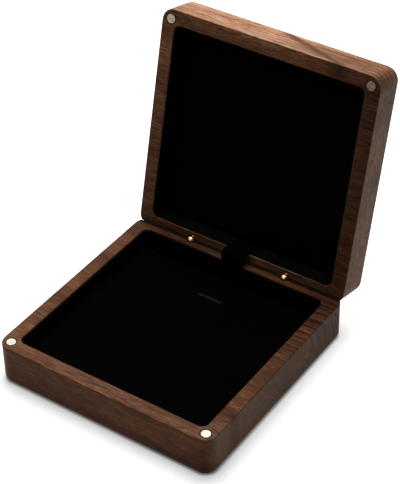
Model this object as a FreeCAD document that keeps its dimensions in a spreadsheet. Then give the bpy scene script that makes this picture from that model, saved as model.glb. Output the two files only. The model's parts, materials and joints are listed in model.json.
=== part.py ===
"""Walnut jewellery box: a tray and a lid milled from solid blocks and joined by two barrel hinges.

Sizes are in millimetres. The box stands on z = 0 with its front towards -Y and its hinges at +Y, and
its origin is the middle of its underside. It is drawn open, at the end of the lid's travel.

The tray and the lid are the same kind of piece, so both halves are drawn rim up with the hinges at +Y,
and the lid half is then turned over about the hinge axis to its open stand.
"""
import FreeCAD, Part
import math
import os
import re

import Sketcher
from FreeCAD import Placement, Rotation, Vector

# Driving dimensions
SIZES = {
    # Wooden blocks
    "box_width": 100.0,
    "box_depth": 98.0,
    "base_height": 18.0,
    "lid_height": 16.5,
    "corner_radius": 5.5,
    "wall": 6.2,
    "cavity_radius": 3.0,
    "base_floor": 3.5,
    "lid_top": 3.5,
    "edge_round": 2.5,
    "rim_round": 0.5,
    # Lid's stand: the gap between the closed rims, the hinge axis and the bevels that let the lid open
    "rim_gap": 0.2,
    "hinge_inset": 2.5,
    "open_angle": 103.6,
    "bevel_slack": 0.2,
    "bevel_setback": 0.05,
    # Barrel hinges
    "hinge_spacing": 46.0,
    "barrel_diameter": 4.0,
    "barrel_length": 11.0,
    "barrel_recess": 0.6,
    "barrel_clearance": 0.02,
    "knuckle_radius": 1.4,
    "knuckle_width": 2.2,
    "knuckle_relief": 0.4,
    "tongue_thickness": 1.0,
    "fork_clearance": 0.08,
    "pin_diameter": 0.9,
    "pin_recess": 0.05,
    "pin_grip": 0.01,
    "pin_clearance": 0.04,
    # Magnets
    "magnet_diameter": 4.0,
    "magnet_thickness": 2.0,
    "magnet_inset": 4.2,
    "magnet_clearance": 0.03,
    "magnet_round": 0.2,
    # Linings
    "lining_thickness": 0.5,
    "lining_clearance": 0.05,
    "base_lining_drop": 0.8,
    "lid_lining_drop": 0.2,
    # Pad in the tray
    "pad_drop": 5.8,
    "pad_side_gap": 0.4,
    "pad_back_gap": 3.0,
    "pad_radius": 3.2,
    "pad_round": 1.8,
    "pad_crown": 0.6,
    "pad_crown_reach": 22.0,
    "pad_board_thickness": 1.5,
    "slit_length": 11.0,
    "slit_width": 1.0,
    "slit_setback": 13.8,
    "chain_slit_spacing": 40.0,
    "chain_slit_length": 3.0,
    "chain_slit_width": 0.6,
    "chain_slit_setback": 8.0,
    # Panel in the lid
    "panel_drop": 7.0,
    "panel_side_gap": 0.4,
    "panel_back_gap": 0.9,
    "panel_radius": 3.2,
    "panel_round": 1.4,
    "panel_crown": 0.4,
    "panel_crown_reach": 22.0,
    "panel_board_thickness": 2.0,
    # Velvet covers of the pad and the panel
    "cover_thickness": 0.6,
    "cover_clearance": 0.05,
    # Stay ribbon
    "ribbon_width": 10.0,
    "ribbon_thickness": 0.3,
    "ribbon_standoff": 0.1,
    "ribbon_bend": 2.2,
    "ribbon_base_tail": 12.0,
    "ribbon_lid_tail": 10.5,
}

# Formulas that several pieces share
CAVITY_X = "(box_width / 2 - wall)"
CAVITY_Y = "(box_depth / 2 - wall)"
LINING_INSET = "(lining_clearance + lining_thickness)"
LINED_X = f"({CAVITY_X} - {LINING_INSET})"
LINED_Y = f"({CAVITY_Y} - {LINING_INSET})"
LINED_RADIUS = f"(cavity_radius - {LINING_INSET})"
AXIS_Y = "(box_depth / 2 - hinge_inset)"
BEVEL_SLOPE = "tan((open_angle / 2 + bevel_slack) * 1 deg)"
PAD_BOTTOM = "(base_floor + lining_thickness)"
PAD_TOP = "(base_height - pad_drop)"
PAD_BACK = f"({LINED_Y} - pad_back_gap)"
PANEL_BOTTOM = "lid_top"
PANEL_TOP = "(lid_height - panel_drop)"
COVER_INSET = "(cover_thickness + cover_clearance)"

LEFT = -1
RIGHT = 1
TOLERANCE = 1e-4

doc = FreeCAD.newDocument("jewellery_box")
sheet = doc.addObject("Spreadsheet::Sheet", "sizes")
for row, (alias, number) in enumerate(SIZES.items(), start=1):
    sheet.set(f"A{row}", alias)
    sheet.set(f"B{row}", str(number))
    sheet.setAlias(f"B{row}", alias)
doc.recompute()


# Formulas and their values
def cells(formula):
    """The formula with every driving dimension written as a reference to its cell."""

    def reference(match):
        word = match.group()
        return f"sizes.{word}" if word in SIZES else word

    return re.sub(r"[a-z][a-z_]*", reference, formula)


def size(formula):
    """The formula's value in millimetres, or degrees for an angle."""
    result = sheet.evalExpression(cells(formula))
    return float(getattr(result, "Value", result))


def bind(target, formulas):
    """Ties properties of an object to formulas."""
    for name, formula in formulas.items():
        target.setExpression(name, cells(formula))


# Sketches
def new_body(label):
    body = doc.addObject("PartDesign::Body", label)
    body.Label = label
    return body


def new_sketch(body, name, role, lift=None):
    """A sketch on one of the body's origin planes, lifted off it along its normal."""
    sketch = body.newObject("Sketcher::SketchObject", name)
    planes = [plane for plane in body.Origin.OriginFeatures if plane.Role == role]
    sketch.AttachmentSupport = [(planes[0], "")]
    sketch.MapMode = "FlatFace"
    if lift:
        bind(sketch, {"AttachmentOffset.Base.z": lift})
    return sketch


def constrain(sketch, formula, kind, *where):
    """A dimension of the sketch that follows a formula."""
    index = sketch.addConstraint(Sketcher.Constraint(kind, *where, size(formula)))
    name = f"{kind.lower()}_{index}"
    sketch.renameConstraint(index, name)
    bind(sketch, {f"Constraints.{name}": formula})


def place_point(sketch, geometry, point, across, along):
    """Holds one point of a sketch at two formulas, measured from the sketch's origin."""
    constrain(sketch, across, "DistanceX", -1, 1, geometry, point)
    constrain(sketch, along, "DistanceY", -1, 1, geometry, point)


def draw_circle(sketch, across, along, diameter):
    middle = Vector(size(across), size(along), 0)
    circle = sketch.addGeometry(Part.Circle(middle, Vector(0, 0, 1), size(diameter) / 2))
    place_point(sketch, circle, 3, across, along)
    constrain(sketch, diameter, "Diameter", circle)


def draw_polygon(sketch, corners):
    """A closed polygon whose corners are pairs of formulas."""
    points = [Vector(size(across), size(along), 0) for across, along in corners]
    ends = points[1:] + points[:1]
    lines = [sketch.addGeometry(Part.LineSegment(a, b)) for a, b in zip(points, ends)]
    for line, following in zip(lines, lines[1:] + lines[:1]):
        sketch.addConstraint(Sketcher.Constraint("Coincident", line, 2, following, 1))
    for line, (across, along) in zip(lines, corners):
        place_point(sketch, line, 1, across, along)


def draw_rectangle(sketch, low_x, high_x, low_y, high_y):
    draw_polygon(sketch, [(low_x, low_y), (high_x, low_y), (high_x, high_y), (low_x, high_y)])


def draw_rounded_rectangle(sketch, half_width, front, back, radius):
    """A rectangle with rounded corners: its half width, and how far it reaches forwards and backwards."""
    right, near, far, bend = size(half_width), -size(front), size(back), size(radius)
    left = -right
    runs = [
        ((left + bend, near), (right - bend, near), "Horizontal"),
        ((right, near + bend), (right, far - bend), "Vertical"),
        ((right - bend, far), (left + bend, far), "Horizontal"),
        ((left, far - bend), (left, near + bend), "Vertical"),
    ]
    middles = [
        (right - bend, near + bend),
        (right - bend, far - bend),
        (left + bend, far - bend),
        (left + bend, near + bend),
    ]
    lines = []
    arcs = []
    for quarter, ((start, end, direction), middle) in enumerate(zip(runs, middles)):
        line = sketch.addGeometry(Part.LineSegment(Vector(*start, 0), Vector(*end, 0)))
        sketch.addConstraint(Sketcher.Constraint(direction, line))
        circle = Part.Circle(Vector(*middle, 0), Vector(0, 0, 1), bend)
        begin = (quarter - 1) * math.pi / 2
        arc = sketch.addGeometry(Part.ArcOfCircle(circle, begin, begin + math.pi / 2))
        lines.append(line)
        arcs.append(arc)
    for line, arc, following in zip(lines, arcs, lines[1:] + lines[:1]):
        sketch.addConstraint(Sketcher.Constraint("Tangent", line, 2, arc, 1))
        sketch.addConstraint(Sketcher.Constraint("Tangent", arc, 2, following, 1))
    for arc in arcs[1:]:
        sketch.addConstraint(Sketcher.Constraint("Equal", arcs[0], arc))
    constrain(sketch, radius, "Radius", arcs[0])
    constrain(sketch, f"-{front}", "DistanceY", -1, 1, lines[0], 1)
    constrain(sketch, half_width, "DistanceX", -1, 1, lines[1], 1)
    constrain(sketch, back, "DistanceY", -1, 1, lines[2], 1)
    constrain(sketch, f"-{half_width}", "DistanceX", -1, 1, lines[3], 1)


# Features
def pad(body, sketch, length, symmetric=False):
    feature = body.newObject("PartDesign::Pad", f"{body.Name}_pad")
    feature.Profile = sketch
    feature.SideType = "Symmetric" if symmetric else "One side"
    bind(feature, {"Length": length})
    doc.recompute()


def pocket(body, sketch, depth, symmetric=False):
    """Cuts the sketch downwards, or to both sides, and makes sure that it cut something."""
    before = body.Shape.Volume
    feature = body.newObject("PartDesign::Pocket", f"{body.Name}_pocket")
    feature.Profile = sketch
    feature.SideType = "Symmetric" if symmetric else "One side"
    bind(feature, {"Length": depth})
    doc.recompute()
    if body.Shape.Volume > before - TOLERANCE:
        raise RuntimeError(f"{sketch.Name} cut nothing from {body.Label}")


def round_edges(body, radius, chosen):
    """Rounds the edges of the body that the test picks."""
    base = body.Tip
    names = [f"Edge{n}" for n, edge in enumerate(base.Shape.Edges, start=1) if chosen(edge)]
    feature = body.newObject("PartDesign::Fillet", f"{body.Name}_round")
    feature.Base = (base, names)
    bind(feature, {"Radius": radius})
    doc.recompute()


def at_height(height):
    """A test for edges that lie flat at a height."""

    def lies_flat(edge):
        middle = edge.valueAt((edge.FirstParameter + edge.LastParameter) / 2)
        points = [vertex.Point for vertex in edge.Vertexes] + [middle]
        return all(abs(point.z - height) < TOLERANCE for point in points)

    return lies_flat


def flat_plate(label, half_width, front, back, radius, bottom, thickness):
    body = new_body(label)
    outline = new_sketch(body, f"{label}_outline", "XY_Plane", bottom)
    draw_rounded_rectangle(outline, half_width, front, back, radius)
    pad(body, outline, thickness)
    return body


# Wooden blocks
def cut_back_bevel(body, height):
    """Bevels the back edge down from just in front of the hinge axis, so that the lid can lean back."""
    start = f"({AXIS_Y} - bevel_setback)"
    beyond = f"({AXIS_Y} + 2 * hinge_inset)"
    above = f"({height} + hinge_inset)"
    foot = f"{height} - (2 * hinge_inset + bevel_setback) * {BEVEL_SLOPE}"
    section = new_sketch(body, f"{body.Name}_bevel", "YZ_Plane")
    draw_polygon(section, [(start, height), (beyond, foot), (beyond, above), (start, above)])
    pocket(body, section, "2 * box_width", symmetric=True)


def wooden_block(label, height, floor):
    """A block with a milled hollow, and with bores in its rim for hinges and magnets."""
    body = new_body(label)
    outline = new_sketch(body, f"{label}_outline", "XY_Plane")
    draw_rounded_rectangle(outline, "box_width / 2", "box_depth / 2", "box_depth / 2", "corner_radius")
    pad(body, outline, height)
    round_edges(body, "edge_round", at_height(0))

    hollow = new_sketch(body, f"{label}_hollow", "XY_Plane", height)
    draw_rounded_rectangle(hollow, CAVITY_X, CAVITY_Y, CAVITY_Y, "cavity_radius")
    pocket(body, hollow, f"{height} - {floor}")
    round_edges(body, "rim_round", at_height(size(height)))
    cut_back_bevel(body, height)

    hinge_bores = new_sketch(body, f"{label}_hinge_bores", "XY_Plane", height)
    for side in (LEFT, RIGHT):
        across = f"{side} * hinge_spacing / 2"
        draw_circle(hinge_bores, across, AXIS_Y, "barrel_diameter + 2 * barrel_clearance")
    pocket(body, hinge_bores, "barrel_length")

    magnet_bores = new_sketch(body, f"{label}_magnet_bores", "XY_Plane", height)
    for side in (LEFT, RIGHT):
        across = f"{side} * (box_width / 2 - magnet_inset)"
        along = "-(box_depth / 2 - magnet_inset)"
        draw_circle(magnet_bores, across, along, "magnet_diameter + 2 * magnet_clearance")
    pocket(body, magnet_bores, "magnet_thickness")
    return body


# Magnets
def magnet(label, height, side):
    body = new_body(label)
    disc = new_sketch(body, f"{label}_disc", "XY_Plane", f"{height} - magnet_thickness")
    across = f"{side} * (box_width / 2 - magnet_inset)"
    draw_circle(disc, across, "-(box_depth / 2 - magnet_inset)", "magnet_diameter")
    pad(body, disc, "magnet_thickness")
    round_edges(body, "magnet_round", at_height(size(height)))
    return body


# Barrel hinges
def hinge_barrel(label, height, side, gaps, bore):
    """A barrel that is sunk below the rim and flush with the bevel, with a knuckle round the hinge axis.

    The gaps are pairs of formulas, measured across from the barrel's middle, where the knuckle is cut
    away to let the other barrel's knuckle in.
    """
    middle = f"{side} * hinge_spacing / 2"
    axis_height = f"({height} + rim_gap / 2)"
    body = new_body(label)
    stem = new_sketch(body, f"{label}_stem", "XY_Plane", f"{height} - barrel_length")
    draw_circle(stem, middle, AXIS_Y, "barrel_diameter")
    pad(body, stem, "barrel_length - barrel_recess")
    cut_back_bevel(body, height)

    knuckle = new_sketch(body, f"{label}_knuckle", "YZ_Plane", middle)
    draw_circle(knuckle, AXIS_Y, axis_height, "2 * knuckle_radius")
    pad(body, knuckle, "knuckle_width", symmetric=True)

    slots = new_sketch(body, f"{label}_slots", "XY_Plane", f"{axis_height} + knuckle_radius")
    for low, high in gaps:
        near = f"{AXIS_Y} - barrel_diameter"
        far = f"{AXIS_Y} + barrel_diameter"
        draw_rectangle(slots, f"{middle} + {low}", f"{middle} + {high}", near, far)
    pocket(body, slots, "2 * knuckle_radius + knuckle_relief")

    pin_bore = new_sketch(body, f"{label}_pin_bore", "YZ_Plane", middle)
    draw_circle(pin_bore, AXIS_Y, axis_height, bore)
    pocket(body, pin_bore, "barrel_diameter", symmetric=True)
    return body


def hinge_fork(label, side):
    """The base's barrel, whose two ears hold the pin."""
    reach = "(tongue_thickness / 2 + fork_clearance)"
    return hinge_barrel(label, "base_height", side, [(f"-{reach}", reach)], "pin_diameter + 2 * pin_grip")


def hinge_tongue(label, side):
    """The lid's barrel, whose tongue turns on the pin."""
    gaps = [("-barrel_diameter", "-tongue_thickness / 2"), ("tongue_thickness / 2", "barrel_diameter")]
    return hinge_barrel(label, "lid_height", side, gaps, "pin_diameter + 2 * pin_clearance")


def hinge_pin(label, side):
    half_length = "(knuckle_width / 2 - pin_recess)"
    pin = doc.addObject("Part::Cylinder", label)
    pin.Label = label
    pin.Placement = Placement(Vector(), Rotation(Vector(0, 1, 0), 90))
    bind(pin, {
        "Radius": "pin_diameter / 2",
        "Height": f"2 * {half_length}",
        "Placement.Base.x": f"{side} * hinge_spacing / 2 - {half_length}",
        "Placement.Base.y": AXIS_Y,
        "Placement.Base.z": "base_height + rim_gap / 2",
    })
    return pin


# Linings
def wall_lining(label, height, floor, drop):
    """A strip round the hollow's wall, which stops short of the rim."""
    body = new_body(label)
    ring = new_sketch(body, f"{label}_ring", "XY_Plane", floor)
    outer_x = f"({CAVITY_X} - lining_clearance)"
    outer_y = f"({CAVITY_Y} - lining_clearance)"
    draw_rounded_rectangle(ring, outer_x, outer_y, outer_y, "cavity_radius - lining_clearance")
    draw_rounded_rectangle(ring, LINED_X, LINED_Y, LINED_Y, LINED_RADIUS)
    pad(body, ring, f"{height} - {floor} - {drop}")
    return body


def floor_lining(label):
    half_width = f"({LINED_X} - lining_clearance)"
    reach = f"({LINED_Y} - lining_clearance)"
    return flat_plate(label, half_width, reach, reach, LINED_RADIUS, "base_floor", "lining_thickness")


# Padded pieces
class Padding:
    """A padded insert: stiff board, flat foam and a crowned velvet cover drawn over both."""

    def __init__(self, name, bottom, top, slits=None):
        self.name = name
        self.bottom = bottom
        self.top = top
        self.slits = slits
        self.shoulder = f"({top} - {name}_crown)"
        self.foam_bottom = f"({bottom} + {name}_board_thickness)"
        self.hollow_top = f"({self.shoulder} - cover_thickness)"

    def outline(self, inset):
        """Half width, reach forwards, reach backwards and corner radius, drawn in by an inset."""
        half_width = f"({LINED_X} - {self.name}_side_gap - {inset})"
        front = f"({LINED_Y} - {self.name}_side_gap - {inset})"
        back = f"({LINED_Y} - {self.name}_back_gap - {inset})"
        return half_width, front, back, f"{self.name}_radius"

    def rings(self):
        """Insets and heights of the cover's outlines, from its foot over its round edge to its crown."""
        edge = f"{self.name}_round"
        reach = f"{self.name}_crown_reach"
        crown = f"{self.name}_crown"
        return [
            ("0", self.bottom),
            ("0", f"{self.shoulder} - {edge}"),
            (f"{edge} * (1 - cos(45 deg))", f"{self.shoulder} - {edge} * (1 - sin(45 deg))"),
            (edge, self.shoulder),
            (f"({edge} + {reach}) / 2", f"{self.top} - {crown} / 4"),
            (reach, self.top),
        ]

    def cut_slits(self, body, bottom):
        """Cuts the slits right through a piece."""
        sketch = new_sketch(body, f"{body.Name}_slits", "XY_Plane", self.top)
        for middle_x, length, width, setback in self.slits:
            middle_y = f"{PAD_BACK} - {setback}"
            draw_rectangle(
                sketch,
                f"{middle_x} - {length} / 2",
                f"{middle_x} + {length} / 2",
                f"{middle_y} - {width} / 2",
                f"{middle_y} + {width} / 2",
            )
        pocket(body, sketch, f"{self.top} - {bottom}")

    def board(self, label):
        thickness = f"{self.name}_board_thickness"
        return flat_plate(label, *self.outline(COVER_INSET), self.bottom, thickness)

    def foam(self, label):
        thickness = f"{self.hollow_top} - cover_clearance - {self.foam_bottom}"
        body = flat_plate(label, *self.outline(COVER_INSET), self.foam_bottom, thickness)
        if self.slits:
            self.cut_slits(body, self.foam_bottom)
        return body

    def cover(self, label):
        """A loft over the rings, hollowed from below for the board and the foam."""
        body = new_body(label)
        sketches = []
        for inset, height in self.rings():
            sketch = new_sketch(body, f"{label}_ring", "XY_Plane", height)
            draw_rounded_rectangle(sketch, *self.outline(inset))
            sketches.append(sketch)
        loft = body.newObject("PartDesign::AdditiveLoft", f"{label}_loft")
        loft.Profile = sketches[0]
        loft.Sections = sketches[1:]
        loft.Ruled = True
        doc.recompute()
        hollow = new_sketch(body, f"{label}_hollow", "XY_Plane", self.hollow_top)
        draw_rounded_rectangle(hollow, *self.outline("cover_thickness"))
        pocket(body, hollow, f"{self.hollow_top} - {self.bottom}")
        if self.slits:
            self.cut_slits(body, self.bottom)
        return body


# Stay ribbon
def bowed_path(start, corner, end, radius):
    """A wire from start to end, in the YZ plane, that rounds the corner between them."""
    arriving = (corner - start).normalize()
    leaving = (end - corner).normalize()
    turn = arriving.getAngle(leaving)
    cut = radius * math.tan(turn / 2)
    run_in = corner - arriving * cut
    run_out = corner + leaving * cut
    inward = (leaving - arriving).normalize()
    middle = corner + inward * (radius / math.cos(turn / 2) - radius)
    edges = [
        Part.LineSegment(start, run_in).toShape(),
        Part.Arc(run_in, middle, run_out).toShape(),
        Part.LineSegment(run_out, end).toShape(),
    ]
    return Part.Wire(edges)


def stay_ribbon(label):
    """A ribbon up the tray's back wall, past the hinges in one loose bow and into the lid along its wall.

    The tray and the lid mirror each other across the plane that halves the open angle, so the lines along
    the two walls meet on that plane, and the lid's end is the mirror image of a point on the tray's line.
    """
    axis = Vector(0, size(AXIS_Y), size("base_height + rim_gap / 2"))
    half_angle = math.radians(size("open_angle") / 2)
    halving = Vector(0, -math.cos(half_angle), math.sin(half_angle))
    run = size(f"{LINED_Y} - {AXIS_Y} - ribbon_standoff - ribbon_thickness / 2")
    base_end = Vector(0, run, -size("ribbon_base_tail"))
    meeting = Vector(0, run, -run * math.tan(half_angle))
    lid_end = Vector(0, run, -size("ribbon_lid_tail"))
    lid_end = halving * (2 * lid_end.dot(halving)) - lid_end
    path = bowed_path(axis + base_end, axis + meeting, axis + lid_end, size("ribbon_bend"))

    half_width = size("ribbon_width") / 2
    half_thickness = size("ribbon_thickness") / 2
    foot = axis + base_end
    signs = [(-1, -1), (1, -1), (1, 1), (-1, 1), (-1, -1)]
    corners = [foot + Vector(x * half_width, y * half_thickness, 0) for x, y in signs]
    solid = path.makePipeShell([Part.makePolygon(corners)], True, False)
    expected = path.Length * size("ribbon_width * ribbon_thickness")
    print(f"{label}: {path.Length:.2f} mm long, volume {solid.Volume / expected:.4f} of section times length")
    ribbon = doc.addObject("Part::Feature", label)
    ribbon.Label = label
    ribbon.Shape = solid
    return ribbon


# Assembly
def open_lid_placement():
    """Turns a lid piece, drawn rim up with its hinge at the back, over to its open stand."""
    drawn_axis = Vector(0, size(AXIS_Y), size("lid_height + rim_gap / 2"))
    hinge_axis = Vector(0, size(AXIS_Y), size("base_height + rim_gap / 2"))
    lean = Rotation(Vector(1, 0, 0), 180 - size("open_angle"))
    turn = lean.multiply(Rotation(Vector(0, 0, 1), 180))
    return Placement(hinge_axis - turn.multVec(drawn_axis), turn)


def build():
    """Makes every piece and returns them in a list."""
    slits = [("0", "slit_length", "slit_width", "slit_setback")]
    for side in (LEFT, RIGHT):
        middle = f"{side} * chain_slit_spacing / 2"
        slits.append((middle, "chain_slit_length", "chain_slit_width", "chain_slit_setback"))
    tray_pad = Padding("pad", PAD_BOTTOM, PAD_TOP, slits)
    lid_panel = Padding("panel", PANEL_BOTTOM, PANEL_TOP)

    pieces = [
        wooden_block("base_block", "base_height", "base_floor"),
        wall_lining("base_wall_lining", "base_height", "base_floor", "base_lining_drop"),
        floor_lining("base_floor_lining"),
        tray_pad.board("pad_board"),
        tray_pad.foam("pad_foam"),
        tray_pad.cover("pad_cover"),
        stay_ribbon("stay_ribbon"),
    ]
    lid_pieces = [
        wooden_block("lid_block", "lid_height", "lid_top"),
        wall_lining("lid_wall_lining", "lid_height", "lid_top", "lid_lining_drop"),
        lid_panel.board("lid_panel_board"),
        lid_panel.foam("lid_panel_foam"),
        lid_panel.cover("lid_panel_cover"),
    ]
    # The lid half is turned over, so its left side is drawn at +X
    for name, side in (("left", LEFT), ("right", RIGHT)):
        pieces.append(magnet(f"base_magnet_{name}", "base_height", side))
        pieces.append(hinge_fork(f"{name}_hinge_fork", side))
        pieces.append(hinge_pin(f"{name}_hinge_pin", side))
        lid_pieces.append(magnet(f"lid_magnet_{name}", "lid_height", -side))
        lid_pieces.append(hinge_tongue(f"{name}_hinge_tongue", -side))
    for piece in lid_pieces:
        piece.Placement = open_lid_placement()
    doc.recompute()
    return pieces + lid_pieces


def check(pieces):
    """Stops if an object failed, or if a piece isn't one sound solid."""
    for item in doc.Objects:
        if "Invalid" in item.State or "Error" in item.State:
            raise RuntimeError(f"{item.Label} failed: {item.State}")
    for piece in pieces:
        shape = piece.Shape
        if shape.isNull() or not shape.isValid() or len(shape.Solids) != 1:
            raise RuntimeError(f"{piece.Label} isn't one sound solid")


made = build()
check(made)
os.makedirs("parts", exist_ok=True)
for piece in made:
    piece.Shape.exportStep(f"parts/{piece.Label}.step")
print(f"{len(made)} pieces")
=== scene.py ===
"""Walnut jewellery box, dressed around its solid model and set up for a portrait.

Lengths are in metres, in the frame of the solid model: the box stands on z = 0 with its front towards
-Y and its hinges at +Y. The lid stands open.
"""

import json
import logging
import math
from dataclasses import dataclass, field
from enum import Enum

import bmesh
import bpy
from mathutils import Matrix, Vector, noise


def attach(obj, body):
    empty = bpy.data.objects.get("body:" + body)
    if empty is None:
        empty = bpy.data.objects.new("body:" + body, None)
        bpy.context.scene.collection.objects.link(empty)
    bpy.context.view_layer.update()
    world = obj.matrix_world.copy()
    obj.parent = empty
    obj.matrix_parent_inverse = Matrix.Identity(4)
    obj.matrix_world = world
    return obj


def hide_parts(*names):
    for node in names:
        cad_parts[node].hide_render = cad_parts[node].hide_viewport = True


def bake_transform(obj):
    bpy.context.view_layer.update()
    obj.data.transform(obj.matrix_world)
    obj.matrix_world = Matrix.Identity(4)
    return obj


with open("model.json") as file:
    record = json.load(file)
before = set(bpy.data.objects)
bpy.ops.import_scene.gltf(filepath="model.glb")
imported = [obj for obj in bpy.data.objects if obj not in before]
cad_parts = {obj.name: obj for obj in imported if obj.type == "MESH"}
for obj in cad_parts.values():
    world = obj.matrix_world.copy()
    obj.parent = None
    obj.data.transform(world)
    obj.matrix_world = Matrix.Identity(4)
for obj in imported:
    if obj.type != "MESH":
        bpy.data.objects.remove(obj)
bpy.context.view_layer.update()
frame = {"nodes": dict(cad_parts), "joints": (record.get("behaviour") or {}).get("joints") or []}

log = logging.getLogger("jewellery_box")

MM = 0.001
TOUCH = 1e-9

Colour = tuple[float, float, float]
Place = tuple[float, float, float]
Point = tuple[float, float]
Span = tuple[float, float]
Material = bpy.types.Material
Node = bpy.types.Node
Socket = bpy.types.NodeSocket

# A number, or a place or colour, given as it is or by a socket
Value = float | Socket
Triple = Place | Socket

WHOLE: Span = (0.0, 1.0)
ORIGIN: Place = (0.0, 0.0, 0.0)


class Body(Enum):
    """The moving bodies of the box."""

    BASE = "base"
    PAD = "pad"
    LID = "lid"


class Slot(Enum):
    """Two of the record's finishes, by name."""

    VELVET = "velvet"
    RIBBON = "ribbon"


class Graph:
    """Adds nodes to a node tree and joins them."""

    def __init__(self, tree: bpy.types.NodeTree) -> None:
        """Takes the tree to build in and empties it."""
        self.tree = tree
        tree.nodes.clear()

    def add(self, kind: str, inputs: dict[str | int, object] | None = None, **settings: object) -> Node:
        """Adds a node.

        Args:
            kind: Blender's name of the node's type.
            inputs: Values or sockets for its inputs, by name or number.
            **settings: Properties of the node.

        Returns:
            The node.
        """
        node = self.tree.nodes.new(kind)
        for name, value in settings.items():
            setattr(node, name, value)
        for key, value in (inputs or {}).items():
            self.feed(node.inputs[key], value)
        return node

    def feed(self, socket: Socket, value: object) -> None:
        """Sets an input to a plain value, or joins it to another node's output.

        Args:
            socket: The input.
            value: A number, vector, colour or output socket.
        """
        if isinstance(value, Socket):
            self.tree.links.new(value, socket)
        else:
            socket.default_value = value

    def math(self, operation: str, first: Value, second: Value = 0.0) -> Socket:
        """Returns the result of an operation on one number or two."""
        return self.add("ShaderNodeMath", {0: first, 1: second}, operation=operation).outputs[0]

    def plus(self, first: Value, second: Value) -> Socket:
        """Returns the sum of two numbers."""
        return self.math("ADD", first, second)

    def minus(self, first: Value, second: Value) -> Socket:
        """Returns the first number less the second."""
        return self.math("SUBTRACT", first, second)

    def times(self, first: Value, second: Value) -> Socket:
        """Returns the product of two numbers."""
        return self.math("MULTIPLY", first, second)

    def vector_math(
        self, operation: str, first: Triple, second: Triple = ORIGIN, output: str = "Vector"
    ) -> Socket:
        """Returns the result of an operation on one vector or two, from the output Vector or Value."""
        return self.add("ShaderNodeVectorMath", {0: first, 1: second}, operation=operation).outputs[output]

    def split(self, vector: Socket) -> bpy.types.NodeOutputs:
        """Returns a vector's three parts, by the names X, Y and Z."""
        return self.add("ShaderNodeSeparateXYZ", {0: vector}).outputs

    def remap(self, value: Value, source: Span, result: tuple[Value, Value] = WHOLE) -> Socket:
        """Returns a number mapped from one range to another, held at the ends."""
        inputs = {0: value, 1: source[0], 2: source[1], 3: result[0], 4: result[1]}
        return self.add("ShaderNodeMapRange", inputs, clamp=True).outputs[0]

    def ramp(self, value: Value, tones: tuple[float, ...], colours: tuple[Colour, ...]) -> Socket:
        """Turns a number into a colour.

        Args:
            value: The number, from 0 to 1.
            tones: The numbers that turn into the colours.
            colours: The colours.

        Returns:
            The colour's socket.
        """
        node = self.add("ShaderNodeValToRGB", {0: value})
        elements = node.color_ramp.elements
        while len(elements) < len(tones):
            elements.new(1.0)
        for element, tone, colour in zip(elements, tones, colours):
            element.position = tone
            element.color = (*colour, 1.0)
        return node.outputs["Color"]

    def mix(self, factor: Value, first: Triple, second: Triple, blend: str = "MIX") -> Socket:
        """Mixes two colours.

        Args:
            factor: Share of the second colour.
            first: First colour.
            second: Second colour.
            blend: Way of mixing.

        Returns:
            The mixed colour's socket.
        """
        node = self.add("ShaderNodeMix", data_type="RGBA", blend_type=blend, clamp_factor=True)
        for name, value in (("Factor_Float", factor), ("A_Color", first), ("B_Color", second)):
            socket = next(s for s in node.inputs if s.identifier == name)
            self.feed(socket, (*value, 1.0) if isinstance(value, tuple) else value)
        return next(s for s in node.outputs if s.identifier == "Result_Color")

    def bump(self, height: Value, depth: float, strength: float) -> Socket:
        """Returns the normal of relief from 0 to 1, given its depth in metres and the share that shows."""
        inputs = {"Height": height, "Distance": depth, "Strength": strength}
        return self.add("ShaderNodeBump", inputs).outputs["Normal"]


@dataclass(frozen=True)
class Pattern:
    """An uneven pattern in a material.

    Attributes:
        waves: Waves in each metre, along each axis.
        detail: How many finer layers it has.
        roughness: How strong the finer layers are.
    """

    waves: Place
    detail: float = 2.0
    roughness: float = 0.5

    def draw(self, graph: Graph, place: Socket, output: str = "Fac") -> Socket:
        """Draws the pattern.

        Args:
            graph: The material's nodes.
            place: The place to look the pattern up at.
            output: Fac for a number, Color for three.

        Returns:
            The pattern's socket.
        """
        inputs = {
            "Vector": graph.vector_math("MULTIPLY", place, self.waves),
            "Scale": 1.0,
            "Detail": self.detail,
            "Roughness": self.roughness,
        }
        return graph.add("ShaderNodeTexNoise", inputs).outputs[output]


@dataclass(frozen=True)
class Finish:
    """A surface finish.

    Attributes:
        name: Name of the material.
    """

    name: str

    def material(self) -> Material:
        """Makes the finish's material.

        Returns:
            The material.
        """
        made = bpy.data.materials.new(self.name)
        made.use_nodes = True
        graph = Graph(made.node_tree)
        surface = graph.add("ShaderNodeBsdfPrincipled", self.paint(graph))
        graph.add("ShaderNodeOutputMaterial", {"Surface": surface.outputs["BSDF"]})
        return made

    def paint(self, graph: Graph) -> dict[str, Value]:
        """Returns the shader's inputs by name: the surface's colour, gloss and relief."""
        raise NotImplementedError

    def place(self, graph: Graph) -> Socket:
        """Returns the surface's place in the box's frame, in metres."""
        return graph.add("ShaderNodeTexCoord").outputs["Object"]


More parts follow.
